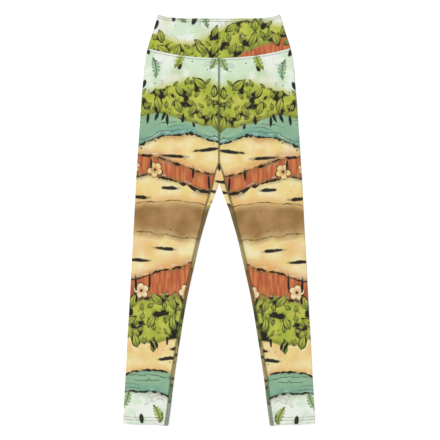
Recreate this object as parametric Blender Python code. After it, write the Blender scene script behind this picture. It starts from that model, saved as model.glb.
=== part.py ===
"""High-waisted leggings laid flat on their back, each sewn piece a cloth wall of its own.

+X is the wearer's left, +Y runs from the hems to the waist and +Z points up from the surface
that the garment lies on. Heights are measured from the lowest point of the hems, along +Y.
"""

import math
from collections import namedtuple

import bmesh
import bpy

MM = 0.001

# Overall sizes of the garment as it lies.
LENGTH = 950 * MM  # hem to the corners of the waistband
HEM_RISE = 5.4 * MM  # how much higher the outer corner of a hem lies than the inner one

# Waistband: doubled cloth, its top edge dipping and its lower seam sagging towards the middle.
TOP_MIDDLE = 941 * MM
TOP_RISE = 9 * MM  # from the middle of the top edge to its corners
TOP_POWER = 6
WAIST_MIDDLE = 849.5 * MM
WAIST_RISE = 22 * MM  # from the middle of the waist seam to the side
WAIST_POWER = 2.0
BAND_WALL = 2.0 * MM
BAND_LOFT = 4.7 * MM  # both layers of the band as they lie on each other

# Crotch: a kite-shaped gusset folded over the point where the legs part.
CROTCH = 561 * MM
GUSSET_FRONT = 609 * MM  # front point, at the foot of the centre-front seam
GUSSET_BACK = 625 * MM  # back point, at the foot of the centre-back seam
GUSSET_TIP = 498.5 * MM  # side corner, on the front of the leg
GUSSET_FOLD_END = 503 * MM  # where the gusset's end seam crosses the inner fold
GUSSET_BACK_END = 508 * MM  # where that seam turns up the back
POINT_CLEARANCE = 0.6 * MM  # keeps the gusset's two points out of the seams that end there
INSEAM_STRIP = 7 * MM  # cloth of the back that wraps round the inner fold to the inseam

# Seams.
SEAM_GAP = 0.3 * MM
END_GAP = 0.45 * MM  # below the gusset's end, whose seam turns round the inner fold
SEAM_RIDGE = 0.5 * MM  # the allowance under a seam lifts the cloth beside it
RIDGE_WIDTH = 7.5 * MM
ROLL = 0.5 * MM  # a finished edge rounds over by this much
ROLL_WIDTH = 1.5 * MM

FOLD_STEPS = 6  # facets round a fold
FOLD_SPREAD = 16 * MM  # a fold's spring lifts the cloth over this width

Outer = namedtuple("Outer", "height reach")
OUTER_EDGE = (  # from the centre line to the outer fold, in mm
    Outer(0, 222.2),
    Outer(59, 219.2),
    Outer(105, 216.5),
    Outer(198, 211.6),
    Outer(290, 206.3),
    Outer(383, 201.4),
    Outer(475, 196.3),
    Outer(558, 192.1),
    Outer(632, 187.4),
    Outer(706, 182.4),
    Outer(780, 176.9),
    Outer(845, 170.6),
    Outer(870, 165.4),
    Outer(914, 151.6),
    Outer(941, 143.4),
    Outer(950, 140.4),
)

Inner = namedtuple("Inner", "height reach")
INNER_EDGE = (  # from the centre line to the fold along the inside of the leg, in mm
    Inner(0, 117.4),
    Inner(36, 112.2),
    Inner(59, 109.6),
    Inner(105, 104.1),
    Inner(198, 90.2),
    Inner(290, 74.7),
    Inner(383, 54.0),
    Inner(429, 43.4),
    Inner(475, 30.3),
    Inner(498, 23.4),
    Inner(521, 14.7),
    Inner(542, 6.6),
    Inner(554, 2.4),
    Inner(559, 1.2),
    Inner(561, 0.0),
)

GussetSeam = namedtuple("GussetSeam", "height reach")
GUSSET_FRONT_SEAM = (  # from the centre line to the front seam of the gusset, in mm
    GussetSeam(498.5, 32.8),
    GussetSeam(510, 29.8),
    GussetSeam(534, 22.2),
    GussetSeam(554, 15.9),
    GussetSeam(578, 9.9),
    GussetSeam(598, 3.6),
    GussetSeam(609, 0.0),
)
GUSSET_BACK_SEAM = (  # the same on the back
    GussetSeam(508, 32.0),
    GussetSeam(525, 26.5),
    GussetSeam(550, 20.0),
    GussetSeam(580, 12.2),
    GussetSeam(625, 0.0),
)

Loft = namedtuple("Loft", "height middle edge wall")
# Thickness of both layers in the middle and at the folds, and of one wall, in mm. The wall is
# double over the 18 mm turned up inside the hem, and thick over the waist seam's allowance.
LEG_LOFT = (
    Loft(0, 4.3, 4.6, 2.0),
    Loft(17.5, 4.3, 4.6, 2.0),
    Loft(18.5, 4.2, 4.5, 1.0),
    Loft(50, 2.9, 4.0, 1.0),
    Loft(300, 2.7, 3.8, 1.0),
    Loft(560, 2.9, 4.2, 1.0),
    Loft(800, 2.9, 4.2, 1.0),
    Loft(831, 3.3, 4.4, 1.0),
    Loft(843.5, 4.2, 4.6, 1.2),
    Loft(849.5, 4.5, 4.7, 1.8),
)

# Heights of the rows of points up a leg, in mm at the inseam or the centre seams.
LEG_ROWS_BELOW_TIP = (
    0, 0.6, 1.5, 17.5, 18.5, 34, 52, 78, 105, 150, 198, 244, 290, 336, 383, 420, 450, 470, 484,
)
LEG_ROWS_ABOVE_TIP = (
    501.5, 506, 514, 522, 532, 542, 552, 561, 571, 581, 590, 599, 609, 617, 626, 650, 690, 730, 770,
    800, 825, 837, 844.5, 848,
)

# Parts of the way from the centre line to the outer fold where a piece has points. The waist
# seam is a curve, so the pieces on both sides of it share them.
PARTS_ACROSS = (0.2, 0.4, 0.55, 0.68, 0.79, 0.88, 0.95)

COLORS = {  # a mean colour of each piece's printed cloth
    "waistband": (0.42, 0.44, 0.16, 1),
    "leg": (0.52, 0.47, 0.24, 1),
    "gusset": (0.70, 0.58, 0.30, 1),
}


def smooth_column(rows, name):
    """One column of a table as a smooth function of height, with no overshoot between rows."""
    heights = [row.height * MM for row in rows]
    values = [getattr(row, name) * MM for row in rows]
    spans = range(len(rows) - 1)
    slopes = [(values[k + 1] - values[k]) / (heights[k + 1] - heights[k]) for k in spans]
    tangents = [slopes[0]]
    for before, after in zip(slopes, slopes[1:]):
        turns = before * after <= 0
        tangents.append(0 if turns else 2 * before * after / (before + after))
    tangents.append(slopes[-1])

    def value(height):
        height = min(max(height, heights[0]), heights[-1])
        k = max(k for k in spans if heights[k] <= height)
        span = heights[k + 1] - heights[k]
        u = (height - heights[k]) / span
        return (
            values[k] * (1 + 2 * u) * (1 - u) ** 2
            + tangents[k] * span * u * (1 - u) ** 2
            + values[k + 1] * u * u * (3 - 2 * u)
            - tangents[k + 1] * span * u * u * (1 - u)
        )

    return value


def straight_column(rows, name):
    """One column of a table as straight runs between its rows."""

    def value(height):
        for low, high in zip(rows, rows[1:]):
            if height <= high.height * MM or high is rows[-1]:
                u = (height / MM - low.height) / (high.height - low.height)
                u = min(max(u, 0), 1)
                return MM * mix(getattr(low, name), getattr(high, name), u)

    return value


def mix(a, b, u):
    return a + (b - a) * u


def ease(u):
    u = min(max(u, 0), 1)
    return u * u * (3 - 2 * u)


outer_edge = smooth_column(OUTER_EDGE, "reach")
inner_edge = smooth_column(INNER_EDGE, "reach")
gusset_front_seam = smooth_column(GUSSET_FRONT_SEAM, "reach")
gusset_back_seam = smooth_column(GUSSET_BACK_SEAM, "reach")
middle_loft = straight_column(LEG_LOFT, "middle")
edge_loft = straight_column(LEG_LOFT, "edge")
leg_wall = straight_column(LEG_LOFT, "wall")

# How far in from the inner fold the seam across the gusset's end reaches, front and back.
TIP_INSET = gusset_front_seam(GUSSET_TIP) - inner_edge(GUSSET_TIP)
BACK_END_INSET = gusset_back_seam(GUSSET_BACK_END) - inner_edge(GUSSET_BACK_END)


def waist_seam(part):
    """Height of the waist seam, at a part from 0 in the middle to 1 at the side."""
    return WAIST_MIDDLE + WAIST_RISE * abs(part) ** WAIST_POWER


def top_edge(part):
    return TOP_MIDDLE + TOP_RISE * abs(part) ** TOP_POWER


def hem_curve(part):
    """Rise of the hem's edge: steep at both corners and nearly level between them."""
    return HEM_RISE * (0.5 + 0.5 * (2 * part - 1) ** 3)


def front_seam(height):
    """From the centre line to the inseam, then the gusset's seam, then the centre-front seam."""
    if height < GUSSET_TIP:
        strip = mix(INSEAM_STRIP, TIP_INSET, ease(1 - (GUSSET_TIP - height) / (40 * MM)))
        return inner_edge(height) + strip
    return gusset_front_seam(height)


def end_seam(inset, turn):
    """Height of the seam across the gusset's end, at an inset from the inner fold.

    turn is 0 on the front, 1 on the back and between them round the fold.
    """
    front = mix(GUSSET_FOLD_END, GUSSET_TIP, inset / TIP_INSET)
    back = mix(GUSSET_FOLD_END, GUSSET_BACK_END, inset / BACK_END_INSET)
    return mix(front, back, turn)


def lie(x, height, row):
    """Height of the front's upper face: folds spring up, and the rest settles."""
    outer_gap = outer_edge(height) - x
    inner_gap = x - inner_edge(height)
    if height > CROTCH:
        inner_gap = math.hypot(x, height - CROTCH)
    spring = edge_loft(row)
    near = min(outer_gap, inner_gap) - spring / 2
    return mix(spring, middle_loft(row), ease(near / FOLD_SPREAD))


def ridge(distance):
    """How far a seam's allowance lifts the cloth, at a distance from the seam."""
    lift = SEAM_RIDGE * (1 - ease(distance / RIDGE_WIDTH))
    return lift - (ROLL + SEAM_RIDGE) * (1 - ease(distance / ROLL_WIDTH))


def flat_front(x, height, row, relief=0):
    """(outer point, inner point) of the wall where it lies on top."""
    top = lie(x, height, row)
    return (x, height, top + relief), (x, height, top - leg_wall(row))


def flat_back(x, height, row, relief=0):
    return (x, height, relief), (x, height, leg_wall(row))


def round_fold(edge, height, row, turn, inwards):
    """The wall part-way round a fold: turn is 0 on the front and 1 on the back."""
    radius = edge_loft(row) / 2
    angle = math.pi * turn
    points = []
    for r in (radius, radius - leg_wall(row)):
        x = edge + inwards * (radius - r * math.sin(angle))
        points.append((x, height, radius + r * math.cos(angle)))
    return tuple(points)


def leg_row(row, wraps):
    """Points across a leg, from the front seam over the outer fold to the back seam.

    Where the cloth wraps round the inner fold, they go on round it to the inseam.
    """
    waist = ease((row - 640 * MM) / (WAIST_MIDDLE - 640 * MM))
    hem = 1 - ease(row / (90 * MM))
    tip = max(0, 1 - abs(row - GUSSET_TIP) / (60 * MM))
    hem_roll = ROLL * (1 - ease(row / ROLL_WIDTH))
    waist_roll = ROLL * (1 - ease((WAIST_MIDDLE - SEAM_GAP / 2 - row) / ROLL_WIDTH))
    roll = hem_roll + waist_roll
    radius = edge_loft(row) / 2

    def shifted(part, end_height=GUSSET_TIP):
        """Height at a part from 0 at the seams to 1 at the outer fold.

        Rows near the gusset's side corner slant as the seam across its end does.
        """
        sag = waist * WAIST_RISE * part**WAIST_POWER
        return row + sag + hem * hem_curve(part) + tip * (end_height - GUSSET_TIP)

    def rolled(pair, turn):
        """The same points with the outer one rounded towards the wall's middle."""
        outer, inner = pair
        up = roll * math.cos(math.pi * turn)
        return (outer[0], outer[1], outer[2] - up), inner

    points = []
    # Front, from its seam to the outer fold.
    span = outer_edge(shifted(1)) - radius - front_seam(row) - SEAM_GAP / 2
    near_seam = [across / span for across in (0, 1 * MM, 3.5 * MM, 7.5 * MM)]
    for part in (*near_seam, *PARTS_ACROSS, 1):
        height = shifted(part)
        begin = front_seam(height) + SEAM_GAP / 2
        x = mix(begin, outer_edge(height) - radius, part)
        points.append(flat_front(x, height, row, ridge(part * span) - roll))
    # Outer fold.
    height = shifted(1)
    for step in range(1, FOLD_STEPS + 1):
        turn = step / FOLD_STEPS
        points.append(rolled(round_fold(outer_edge(height), height, row, turn, -1), turn))
    # Back, to the centre-back seam or to the start of the inner fold.
    for part in (*reversed(PARTS_ACROSS), 0.06, 0):
        height = shifted(part, mix(GUSSET_BACK_END, GUSSET_TIP, part))
        if wraps:
            end = inner_edge(height) + BACK_END_INSET
        else:
            end = gusset_back_seam(height) + SEAM_GAP / 2
        x = mix(end, outer_edge(height) - radius, part)
        points.append(flat_back(x, height, row, roll))
    # Inner fold, and the strip that reaches the inseam.
    inset = radius + 3 * MM
    height = shifted(0, end_seam(inset, 1))
    points.append(flat_back(inner_edge(height) + inset, height, row, roll))
    for step in range(FOLD_STEPS + 1):
        turn = 1 - step / FOLD_STEPS
        pair = []
        for face, r in enumerate((radius, radius - leg_wall(row))):
            inset = radius - r * math.sin(math.pi * turn)
            height = shifted(0, end_seam(inset, turn))
            pair.append(round_fold(inner_edge(height), height, row, turn, 1)[face])
        points.append(rolled(pair, turn))
    for from_seam in (4 * MM, 1 * MM, 0):
        height = shifted(0, end_seam(TIP_INSET - from_seam, 0))
        x = front_seam(height) - SEAM_GAP / 2 - from_seam
        points.append(flat_front(x, height, row, ridge(from_seam) - roll))
    return points


WRAP_COLUMNS = 1 + FOLD_STEPS + 1 + 3  # columns that exist only where the leg wraps round


def leg_grid():
    """Rows of points up the leg, and the cells between them that hold cloth."""
    below = [row * MM for row in LEG_ROWS_BELOW_TIP] + [GUSSET_TIP - END_GAP]
    above = [row * MM for row in LEG_ROWS_ABOVE_TIP] + [WAIST_MIDDLE - SEAM_GAP / 2]
    grid = [leg_row(row, True) for row in below]
    grid += [leg_row(row, False) for row in above]
    columns = len(grid[0]) - 1
    cells = set()
    for i in range(len(grid) - 1):
        wraps = i < len(below) - 1
        for j in range(columns if wraps else columns - WRAP_COLUMNS):
            cells.add((i, j))
    return grid, cells


def gusset_line(t):
    """Points across the gusset at t, from 0 at the crotch point to 1 at the side corner."""
    side = -1 if t < 0 else 1
    t = abs(t)
    fold_height = CROTCH - (CROTCH - GUSSET_FOLD_END) * t**1.6
    front_height = fold_height + (GUSSET_FRONT - POINT_CLEARANCE - CROTCH) * (1 - t) ** 4
    front_height -= (GUSSET_FOLD_END - GUSSET_TIP) * t
    back_height = fold_height + (GUSSET_BACK - POINT_CLEARANCE - CROTCH) * (1 - t) ** 4
    back_height += (GUSSET_BACK_END - GUSSET_FOLD_END) * t
    front = (max(gusset_front_seam(front_height) - SEAM_GAP / 2, 0), front_height)
    back = (max(gusset_back_seam(back_height) - SEAM_GAP / 2, 0), back_height)
    fold = (inner_edge(fold_height), fold_height)
    across = inwards_at(fold_height)
    to_front = unit(front[0] - fold[0], front[1] - fold[1])
    to_back = unit(back[0] - fold[0], back[1] - fold[1])
    front_way = unit(*(mix(a, b, t) for a, b in zip(across, to_front)))
    back_way = unit(*(mix(a, b, t) for a, b in zip(across, to_back)))
    radius = edge_loft(fold_height) / 2
    wall = leg_wall(fold_height)

    points = []
    fold_start = (fold[0] + radius * front_way[0], fold[1] + radius * front_way[1])
    fold_end = (fold[0] + radius * back_way[0], fold[1] + radius * back_way[1])
    length = math.dist(front, fold_start)
    for along in (0, 1 * MM, 3.5 * MM, mix(3.5 * MM, length, 0.5)):
        x = mix(front[0], fold_start[0], along / length)
        y = mix(front[1], fold_start[1], along / length)
        points.append(flat_front(x, y, y, ridge(along)))
    for step in range(FOLD_STEPS + 1):
        turn = step / FOLD_STEPS
        way = unit(*(mix(a, b, turn) for a, b in zip(front_way, back_way)))
        pair = []
        for r in (radius, radius - wall):
            inset = radius - r * math.sin(math.pi * turn)
            z = radius + r * math.cos(math.pi * turn)
            pair.append((fold[0] + inset * way[0], fold[1] + inset * way[1], z))
        points.append(tuple(pair))
    for u in (0.4, 0.8, 1):
        x = mix(fold_end[0], back[0], u)
        y = mix(fold_end[1], back[1], u)
        points.append(flat_back(x, y, y))
    return [tuple((side * p[0], p[1], p[2]) for p in pair) for pair in points]


def inwards_at(height):
    """Direction into the cloth, square to the inner fold."""
    step = 0.5 * MM
    if height > CROTCH - step:
        return (0, 1) if height >= CROTCH else unit(0.5, 0.87)
    slope = (inner_edge(height + step) - inner_edge(height - step)) / (2 * step)
    return unit(1, -slope)


def unit(x, y):
    length = math.hypot(x, y)
    return (x / length, y / length)


def gusset_grid(lines_a_side=12):
    steps = range(-lines_a_side, lines_a_side + 1)
    grid = [gusset_line(step / lines_a_side) for step in steps]
    cells = {(i, j) for i in range(len(grid) - 1) for j in range(len(grid[0]) - 1)}
    return grid, cells


def band_grid(front):
    """The front or back of the waistband, its sides rounding over to the side seams."""
    radius = BAND_LOFT / 2
    turns = [0.5 * step / (FOLD_STEPS / 2) for step in range(1, FOLD_STEPS // 2 + 1)]
    half = [(part, 0) for part in (*PARTS_ACROSS, 1)] + [(1, turn) for turn in turns]
    stations = [(-part, turn) for part, turn in reversed(half)] + [(0, 0)] + half
    from_seam = [0, 1.5 * MM, 6 * MM]
    from_top = [4 * MM, 1.5 * MM, 0.5 * MM, 0]
    grid = []
    for level in range(len(from_seam) + 4 + len(from_top)):
        line = []
        for part, turn in stations:
            low = waist_seam(part) + SEAM_GAP / 2
            high = top_edge(part)
            if level < len(from_seam):
                height = low + from_seam[level]
                roll = ROLL * (1 - ease(from_seam[level] / ROLL_WIDTH))
            elif level < len(from_seam) + 4:
                u = (level - len(from_seam) + 1) / 5
                height = mix(low + from_seam[-1], high - from_top[0], u)
                roll = 0
            else:
                left = from_top[level - len(from_seam) - 4]
                height = high - left
                roll = 1.4 * ROLL * (1 - ease(left / ROLL_WIDTH))
            side = outer_edge(height)
            angle = math.pi * turn
            pair = []
            for r in (radius - roll, radius - BAND_WALL + roll):
                x = part * (side - radius)
                if turn:
                    x += math.copysign(r * math.sin(angle), part)
                rise = r * math.cos(angle) + SEAM_GAP * turn
                z = radius + rise * (1 if front else -1)
                pair.append((x, height, z))
            line.append(tuple(pair))
        grid.append(line)
    cells = {(i, j) for i in range(len(grid) - 1) for j in range(len(grid[0]) - 1)}
    return grid, cells


def cloth(name, grid, cells, material, mirrored=False):
    """Closes a grid of (outer, inner) points into a wall, with a rim round its free edges."""
    mesh = bmesh.new()
    made = {}

    def corner(i, j, face):
        if (i, j, face) not in made:
            x, height, z = grid[i][j][face]
            made[i, j, face] = mesh.verts.new((-x if mirrored else x, height - LENGTH / 2, z))
        return made[i, j, face]

    for i, j in sorted(cells):
        ring = [(i, j), (i + 1, j), (i + 1, j + 1), (i, j + 1)]
        mesh.faces.new([corner(*place, 0) for place in ring])
        mesh.faces.new([corner(*place, 1) for place in reversed(ring)])
        beside = [(i, j - 1), (i + 1, j), (i, j + 1), (i - 1, j)]
        for k, neighbour in enumerate(beside):
            if neighbour not in cells:
                a, b = ring[k], ring[(k + 1) % 4]
                mesh.faces.new([corner(*b, 0), corner(*a, 0), corner(*a, 1), corner(*b, 1)])
    bmesh.ops.recalc_face_normals(mesh, faces=mesh.faces)
    data = bpy.data.meshes.new(name)
    mesh.to_mesh(data)
    mesh.free()
    data.shade_smooth()
    data.set_sharp_from_angle(angle=math.radians(40))
    data.materials.append(material)
    piece = bpy.data.objects.new(name, data)
    bpy.context.collection.objects.link(piece)
    return piece


def knit(name, color):
    material = bpy.data.materials.new(name)
    material.use_nodes = True
    shader = material.node_tree.nodes["Principled BSDF"]
    shader.inputs["Base Color"].default_value = color
    shader.inputs["Roughness"].default_value = 0.8
    shader.inputs["Metallic"].default_value = 0
    material.diffuse_color = color
    return material


def main():
    for old in list(bpy.data.objects):
        bpy.data.objects.remove(old)

    cloths = {name: knit(f"{name}_cloth", color) for name, color in COLORS.items()}
    cloth("waistband_front", *band_grid(front=True), cloths["waistband"])
    cloth("waistband_back", *band_grid(front=False), cloths["waistband"])
    cloth("leg_left", *leg_grid(), cloths["leg"])
    cloth("leg_right", *leg_grid(), cloths["leg"], mirrored=True)
    cloth("gusset", *gusset_grid(), cloths["gusset"])


main()
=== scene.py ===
"""High-waisted leggings of printed stretch knit, laid flat on their back under soft studio light.

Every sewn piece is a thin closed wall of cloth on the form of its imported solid, with the relief
of its seams, hems and needle rows. +X is the wearer's left, +Y runs from the hems to the waist
and +Z points up from the surface. Heights, or y, start at the lowest point of the hems.
"""

import math
from collections import namedtuple

import bmesh
import bpy
import numpy as np
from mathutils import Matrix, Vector, noise


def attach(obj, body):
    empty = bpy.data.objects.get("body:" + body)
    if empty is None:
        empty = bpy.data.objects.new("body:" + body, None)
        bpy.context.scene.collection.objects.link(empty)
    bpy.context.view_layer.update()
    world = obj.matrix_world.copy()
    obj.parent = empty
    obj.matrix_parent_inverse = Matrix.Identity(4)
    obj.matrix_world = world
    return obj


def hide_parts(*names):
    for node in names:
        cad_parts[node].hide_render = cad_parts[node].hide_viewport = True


MM = 0.001
TAU = 2 * math.pi

# ---- the garment's form
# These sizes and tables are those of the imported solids.
LENGTH = 950 * MM
HEM_RISE = 5.4 * MM

TOP_MIDDLE = 941 * MM
TOP_RISE = 9 * MM
TOP_POWER = 6
WAIST_MIDDLE = 849.5 * MM
WAIST_RISE = 22 * MM
WAIST_POWER = 2.0
BAND_WALL = 2.0 * MM
BAND_LOFT = 4.7 * MM

CROTCH = 561 * MM
GUSSET_FRONT = 609 * MM
GUSSET_BACK = 625 * MM
GUSSET_TIP = 498.5 * MM  # the side corner, where the gusset ends
GUSSET_FOLD_END = 503 * MM
GUSSET_BACK_END = 508 * MM
POINT_CLEARANCE = 0.6 * MM
INSEAM_STRIP = 7 * MM
STRIP_BEND = 40 * MM  # below the side corner, where the inseam starts to bend to it

SEAM_GAP = 0.3 * MM
END_GAP = 0.45 * MM
SEAM_RIDGE = 0.5 * MM
RIDGE_WIDTH = 7.5 * MM
ROLL = 0.5 * MM
ROLL_WIDTH = 1.5 * MM
BACK_PRESS = 0.4 * MM  # of the back at its seams
FOLD_SPREAD = 16 * MM

# Pairs of a height and a distance from the centre line, in mm.
OUTER_EDGE = (  # to the outer fold
    (0, 222.2), (59, 219.2), (105, 216.5), (198, 211.6), (290, 206.3), (383, 201.4),
    (475, 196.3), (558, 192.1), (632, 187.4), (706, 182.4), (780, 176.9), (845, 170.6),
    (870, 165.4), (914, 151.6), (941, 143.4), (950, 140.4),
)
INNER_EDGE = (  # to the fold along the inside of the leg
    (0, 117.4), (36, 112.2), (59, 109.6), (105, 104.1), (198, 90.2), (290, 74.7),
    (383, 54.0), (429, 43.4), (475, 30.3), (498, 23.4), (521, 14.7), (542, 6.6),
    (554, 2.4), (559, 1.2), (561, 0.0),
)
GUSSET_FRONT_SEAM = (
    (498.5, 32.8), (510, 29.8), (534, 22.2), (554, 15.9), (578, 9.9), (598, 3.6), (609, 0.0),
)
GUSSET_BACK_SEAM = ((508, 32.0), (525, 26.5), (550, 20.0), (580, 12.2), (625, 0.0))

LEG_LOFT = (  # height, thickness of both layers in the middle and at the folds, one wall, in mm
    (0, 4.3, 4.6, 2.0),
    (17.5, 4.3, 4.6, 2.0),
    (18.5, 4.2, 4.5, 1.0),
    (50, 2.9, 4.0, 1.0),
    (300, 2.7, 3.8, 1.0),
    (560, 2.9, 4.2, 1.0),
    (800, 2.9, 4.2, 1.0),
    (831, 3.3, 4.4, 1.0),
    (843.5, 4.2, 4.6, 1.2),
    (849.5, 4.5, 4.7, 1.8),
)

# ---- sewing
HEM_NEEDLES = (10 * MM, 16.5 * MM)  # the two rows of the hem, above its edge
HEM_DEPTH = 18 * MM
TOP_NEEDLE = 7.6 * MM  # row below the top edge of the waistband
TOP_GROOVE = 2.9 * MM  # crease under the rolled top edge
GROOVE_WIDTH = 0.7 * MM
WAIST_NEEDLE = 4.8 * MM  # row below the waist seam
NEEDLE_DEPTH = 0.38 * MM  # by which a row of stitches pulls the cloth in
NEEDLE_WIDTH = 0.8 * MM
WAIST_ROLL = 0.5 * MM  # of the cloth over its allowance, between the seam and the row
WAIST_ROLL_AT = 1.7 * MM
WAIST_ROLL_WIDTH = 1.5 * MM
STITCH_PITCH = 3.3 * MM
STITCH_LENGTH = 2.6 * MM
THREAD_RADIUS = 0.2 * MM
SEAM_THREAD_RADIUS = 0.26 * MM  # the thread that shows deep in a seam, also standing in for the shade in the seam's gap
SEAM_THREAD_DEPTH = 0.3 * MM
SEAM_SHADE_WIDTH = 2.9 * MM
PUCKER = 0.16 * MM
STRIP_SHADE = 0.62  # painted shade: how dark the narrow strip between the inseam and the inner fold is painted

# Soft creases on each leg, in mm: start and end, from the centre line and in height, then the
# height of the ridge and its half width. A negative height is a trough.
CREASES = (
    (44, 508, 118, 612, 0.65, 8),
    (34, 560, 96, 690, 0.5, 9),
    (30, 640, 150, 655, -0.35, 11),
    (74, 392, 176, 404, 0.55, 7),
    (88, 372, 190, 381, -0.35, 8),
    (120, 240, 205, 262, 0.4, 8),
    (122, 96, 196, 90, 0.4, 7),
    (160, 700, 176, 812, 0.5, 8),
    (60, 760, 122, 818, 0.35, 10),
)
LIFT_LIMITS = (-0.5 * MM, 1.4 * MM)  # of creases and waviness together
CALM_EDGE = 12 * MM  # the cloth lies calmer this near to its first seam

# ---- the printed design
# A generic design of ribbons, waves, leaves and blossoms. Each band covers all that lies above
# its lower edge, which swings about a height and has a crest at a distance from the centre
# line. Along that edge it has an inked line and, on its own side, a glow. Sizes are in mm.
Band = namedtuple("Band", "height swing wave crest dye other soft ink glow depth")
LOW_WAVE = Band(66, 13, 300, 185, "teal", "sage", 1, 5.4, "teal", 12)
LOW_SAND = Band(112, 17, 300, 170, "sand", "cream", 1, 4.8, "peach", 20)
LOW_LEAVES = Band(204, 14, 230, 40, "lime", "lemon", 3, 0, "olive", 18)
LOW_CLAY = Band(286, 13, 330, 110, "clay", "ember", 1, 5.4, "umber", 16)
KNEE_SAND = Band(352, 20, 360, 60, "sand", "cream", 1, 5.8, "ember", 30)
BROWN = Band(438, 9, 390, 200, "brown", "umber", 17, 1.8, "brown", 10)
THIGH_SAND = Band(510, 10, 390, 120, "sand", "cream", 17, 1.8, "peach", 30)
HIGH_CLAY = Band(556, 20, 340, 165, "clay", "ember", 1, 5.8, "umber", 14)
HIGH_SAND = Band(604, 22, 350, 185, "sand", "cream", 1, 5.4, "ember", 26)
HIGH_WAVE = Band(656, 17, 320, 85, "teal", "sage", 1, 6.0, "teal", 12)
HIGH_LEAVES = Band(706, 15, 260, 150, "lime", "lemon", 3, 0, "olive", 18)
SKY = Band(780, 16, 300, 60, "mint", "white", 5, 0, "lemon", 16)
WAIST_CLAY = Band(908, 4, 400, 0, "clay", "ember", 1, 4.6, "umber", 14)
WAIST_LEAVES = Band(938, 24, 400, 255, "lime", "lemon", 3, 0, "olive", 16)
WAIST_SKY = Band(996, 17, 240, 150, "mint", "white", 5, 0, "lemon", 16)
BANDS = (
    *(LOW_WAVE, LOW_SAND, LOW_LEAVES, LOW_CLAY, KNEE_SAND, BROWN, THIGH_SAND, HIGH_CLAY),
    *(HIGH_SAND, HIGH_WAVE, HIGH_LEAVES, SKY, WAIST_CLAY, WAIST_LEAVES, WAIST_SKY),
)

# moss also colours the painted shade of seams, needle rows and the inseam strip; white colours the
# painted highlight of rolled edges
DYES = dict(
    mint="d6ebcf", white="f0f3e9", haze="b9bdb8", lime="a8b63f", lemon="c3c552", olive="66702c",
    moss="4a4d2a", clay="b4583a", ember="d2824a", peach="eab36c", sand="efd890", cream="f4e6b4",
    brown="b18a58", umber="94703f", sage="93b992", teal="78a897", ink="191712",
)
DYE_STRENGTH = 0.87  # share of the light that a swatch sends back
INK_STRENGTH = 0.98  # how much of the ground an inked mark covers
SEAM_SHADE = 0.66  # painted shade: how dark the sunken cloth beside a seam is painted
NEEDLE_SHADE = 0.42  # the same painted shade at a row of stitches and in the groove under the waistband's top edge

# ---- the pieces
Piece = namedtuple("Piece", "flat area start rise slant")
LEG_CUT = ((0.395, 0.872), 0.26)  # width round the hips by length, and the area of what shows
BAND_CUT = ((0.345, 0.101), 0.0273)  # folded double at its top edge
GUSSET_CUT = ((0.066, 0.118), 0.0052)
PIECES = {  # their print is read at s + start and at height + rise + slant * s, in mm
    "leg_left": Piece(*LEG_CUT, 0, 5, 0),
    "leg_right": Piece(*LEG_CUT, 0, 0, 0),
    "waistband_front": Piece(*BAND_CUT, 95, 86, -0.14),
    "waistband_back": Piece(*BAND_CUT, 620, 90, -0.05),
    "gusset": Piece(*GUSSET_CUT, 260, -378, 0.1),
}


def dye(name):
    """The dye's colour as linear light."""
    parts = [c / 255 for c in bytes.fromhex(DYES[name])]
    light = [(c / 12.92 if c < 0.04 else ((c + 0.055) / 1.055) ** 2.4) for c in parts]
    return (*[DYE_STRENGTH * c for c in light], 1)


# ---- form, as functions of height
def smooth(table):
    """A table of pairs as a smooth function of height, without overshoot."""
    heights, values = MM * np.array(table).T
    slopes = np.diff(values) / np.diff(heights)
    before, after = slopes[:-1], slopes[1:]
    turns = before * after <= 0
    between = np.where(turns, 0, 2 * before * after / np.where(turns, 1, before + after))
    tangents = np.concatenate(([slopes[0]], between, [slopes[-1]]))

    def value(y):
        y = np.clip(y, heights[0], heights[-1])
        k = np.clip(np.searchsorted(heights, y, side="right") - 1, 0, len(slopes) - 1)
        span = heights[k + 1] - heights[k]
        u = (y - heights[k]) / span
        return (
            values[k] * (1 + 2 * u) * (1 - u) ** 2
            + tangents[k] * span * u * (1 - u) ** 2
            + values[k + 1] * u * u * (3 - 2 * u)
            - tangents[k + 1] * span * u * u * (1 - u)
        )

    return value


def straight(column):
    """A column of LEG_LOFT as straight runs between its rows."""
    heights, *columns = MM * np.array(LEG_LOFT).T
    return lambda y: np.interp(y, heights, columns[column])


def mix(a, b, u):
    return a + (b - a) * u


def ease(u):
    u = np.clip(u, 0, 1)
    return u * u * (3 - 2 * u)


def bell(distance, width):
    return np.exp(-((distance / width) ** 2))


outer_edge = smooth(OUTER_EDGE)
inner_edge = smooth(INNER_EDGE)
gusset_front_seam = smooth(GUSSET_FRONT_SEAM)
gusset_back_seam = smooth(GUSSET_BACK_SEAM)
middle_loft, edge_loft, leg_wall = (straight(column) for column in range(3))

LEG_TOP = WAIST_MIDDLE - SEAM_GAP / 2  # in the middle
TIP_INSET = gusset_front_seam(GUSSET_TIP) - inner_edge(GUSSET_TIP)
BACK_END_INSET = gusset_back_seam(GUSSET_BACK_END) - inner_edge(GUSSET_BACK_END)


def waist_seam(part):
    """Height of the waist seam, at a part from 0 in the middle to 1 at the side."""
    return WAIST_MIDDLE + WAIST_RISE * np.abs(part) ** WAIST_POWER


def top_edge(part):
    return TOP_MIDDLE + TOP_RISE * np.abs(part) ** TOP_POWER


def hem_curve(part):
    """Rise of the hem's edge: steep at both corners, nearly level between them."""
    return HEM_RISE * (0.5 + 0.5 * (2 * part - 1) ** 3)


def front_seam(y):
    """From the centre line to the inseam, the gusset's seam or the centre-front seam."""
    strip = mix(INSEAM_STRIP, TIP_INSET, ease(1 - (GUSSET_TIP - y) / STRIP_BEND))
    below = inner_edge(y) + strip
    return np.where(y < GUSSET_TIP, below, gusset_front_seam(y))


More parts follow.
